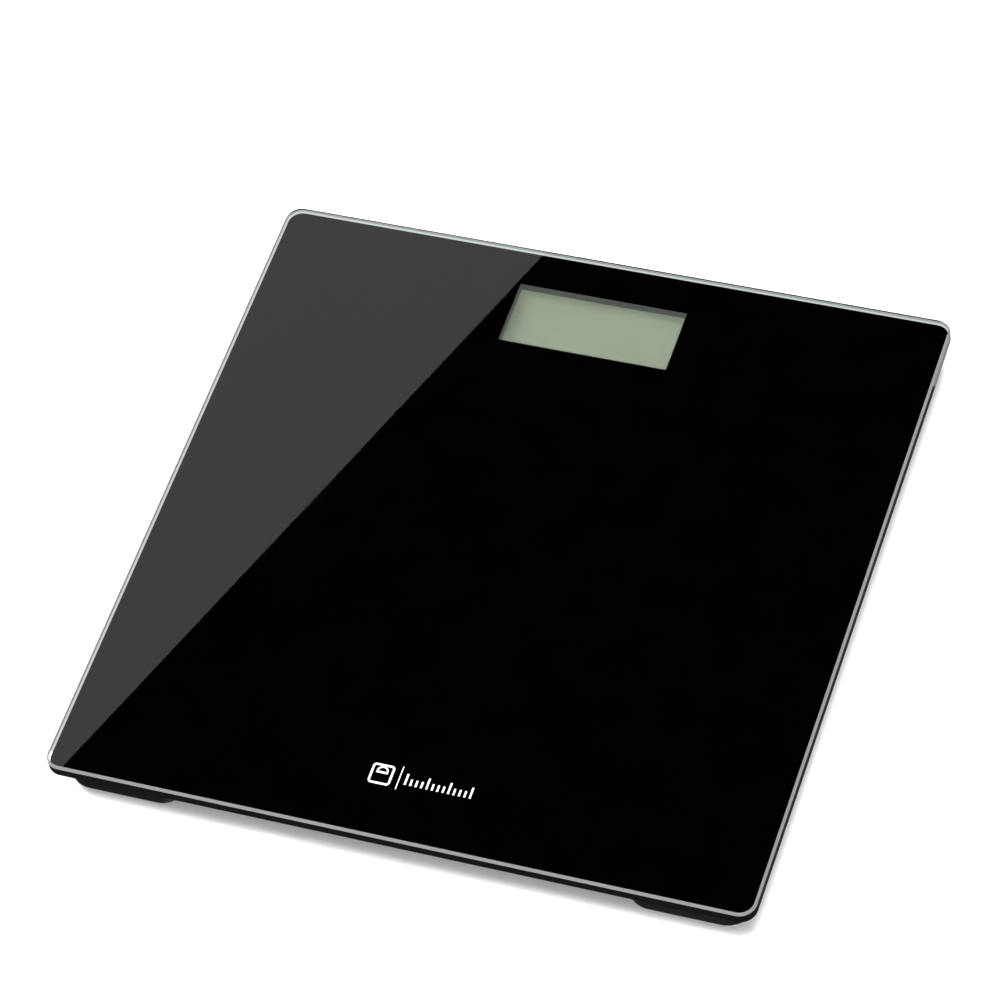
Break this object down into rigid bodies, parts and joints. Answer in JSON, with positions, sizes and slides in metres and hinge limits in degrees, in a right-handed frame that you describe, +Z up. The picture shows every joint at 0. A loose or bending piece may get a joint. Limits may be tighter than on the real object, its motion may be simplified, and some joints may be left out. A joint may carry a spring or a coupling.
{
  "type": "digital bathroom scale",
  "caption": "Square black glass bathroom scale with a recessed display window, corner load-cell feet and an underside battery door and unit button.",
  "frame": {"origin": "on the floor, under the centre of the glass", "axes": "+Z up, +Y towards the edge with the display, +X to the right of a person standing on the scale and facing the display"},
  "size_m": [0.3, 0.3, 0.0205],
  "materials": {
    "clear_glass": "polished float glass, ground bevel",
    "black_ink": "fired black ink seen through the glass",
    "white_ink": "fired white ink",
    "bezel_plastic": "satin moulded ABS",
    "lcd": "blank reflective liquid crystal panel",
    "zebra_rubber": "layered silicone strip",
    "circuit_board": "green solder mask on glass fibre",
    "resin": "cured epoxy drop",
    "chip_ceramic": "sintered chips with tinned ends",
    "contact_metal": "nickel plated spring strip",
    "plunger_plastic": "moulded nylon",
    "cell_steel": "nickel plated can",
    "housing_plastic": "fine spark texture ABS",
    "screw_steel": "zinc plated",
    "foam_tape": "acrylic foam tape",
    "button_plastic": "satin moulded ABS",
    "clip_plastic": "natural nylon",
    "spring_steel": "nickel plated spring steel",
    "silicone": "white silicone over the strain gauge",
    "foot_plastic": "fine spark texture ABS",
    "foot_rubber": "moulded rubber",
    "wire_red": "PVC insulation",
    "wire_white": "PVC insulation",
    "wire_black": "PVC insulation"
  },
  "bodies": {
    "platform": {"glass_plate": "clear_glass", "backing_print": "black_ink", "printed_mark": "white_ink", "display_bezel": "bezel_plastic", "lcd_panel": "lcd", "zebra_strip_front": "zebra_rubber", "zebra_strip_back": "zebra_rubber", "circuit_board": "circuit_board", "controller_blob": "resin", "board_components": "chip_ceramic", "unit_switch": "contact_metal", "contact_positive": "contact_metal", "contact_negative": "contact_metal", "coin_cell": "cell_steel", "electronics_tray": "housing_plastic", "tray_cover": "housing_plastic", "cover_screws": "screw_steel", "board_screws": "screw_steel", "tray_adhesive": "foam_tape", "lead_clips": "clip_plastic", "foot_adhesive_1": "foam_tape", "foot_adhesive_2": "foam_tape", "foot_adhesive_3": "foam_tape", "foot_adhesive_4": "foam_tape", "foot_base_1": "foot_plastic", "foot_base_2": "foot_plastic", "foot_base_3": "foot_plastic", "foot_base_4": "foot_plastic", "load_cell_1": "spring_steel", "load_cell_2": "spring_steel", "load_cell_3": "spring_steel", "load_cell_4": "spring_steel", "gauge_coating_1": "silicone", "gauge_coating_2": "silicone", "gauge_coating_3": "silicone", "gauge_coating_4": "silicone", "lead_1_red": "wire_red", "lead_1_white": "wire_white", "lead_1_black": "wire_black", "lead_2_red": "wire_red", "lead_2_white": "wire_white", "lead_2_black": "wire_black", "lead_3_red": "wire_red", "lead_3_white": "wire_white", "lead_3_black": "wire_black", "lead_4_red": "wire_red", "lead_4_white": "wire_white", "lead_4_black": "wire_black"},
    "foot_1": {"foot_cap_1": "foot_plastic", "foot_rubber_1": "foot_rubber"},
    "foot_2": {"foot_cap_2": "foot_plastic", "foot_rubber_2": "foot_rubber"},
    "foot_3": {"foot_cap_3": "foot_plastic", "foot_rubber_3": "foot_rubber"},
    "foot_4": {"foot_cap_4": "foot_plastic", "foot_rubber_4": "foot_rubber"},
    "battery_door": {"battery_door": "housing_plastic"},
    "unit_button": {"unit_button": "button_plastic", "switch_plunger": "plunger_plastic"}
  },
  "joints": [
    {"name": "foot_slide_1", "type": "slide", "parent": "platform", "child": "foot_1", "axis": [0, 0, 1], "range_m": [-0.0005, 0]},
    {"name": "foot_slide_2", "type": "slide", "parent": "platform", "child": "foot_2", "axis": [0, 0, 1], "range_m": [-0.0005, 0]},
    {"name": "foot_slide_3", "type": "slide", "parent": "platform", "child": "foot_3", "axis": [0, 0, 1], "range_m": [-0.0005, 0]},
    {"name": "foot_slide_4", "type": "slide", "parent": "platform", "child": "foot_4", "axis": [0, 0, 1], "range_m": [-0.0005, 0]},
    {"name": "battery_door_hinge", "type": "hinge", "parent": "platform", "child": "battery_door", "pos_m": [-0.03375, 0.0922, 0.0035], "axis": [1, 0, 0], "range_deg": [0, 85]},
    {"name": "unit_button_slide", "type": "slide", "parent": "platform", "child": "unit_button", "axis": [0, 0, 1], "range_m": [0, 0.0005], "stiffness_N_per_m": 2000}
  ]
}
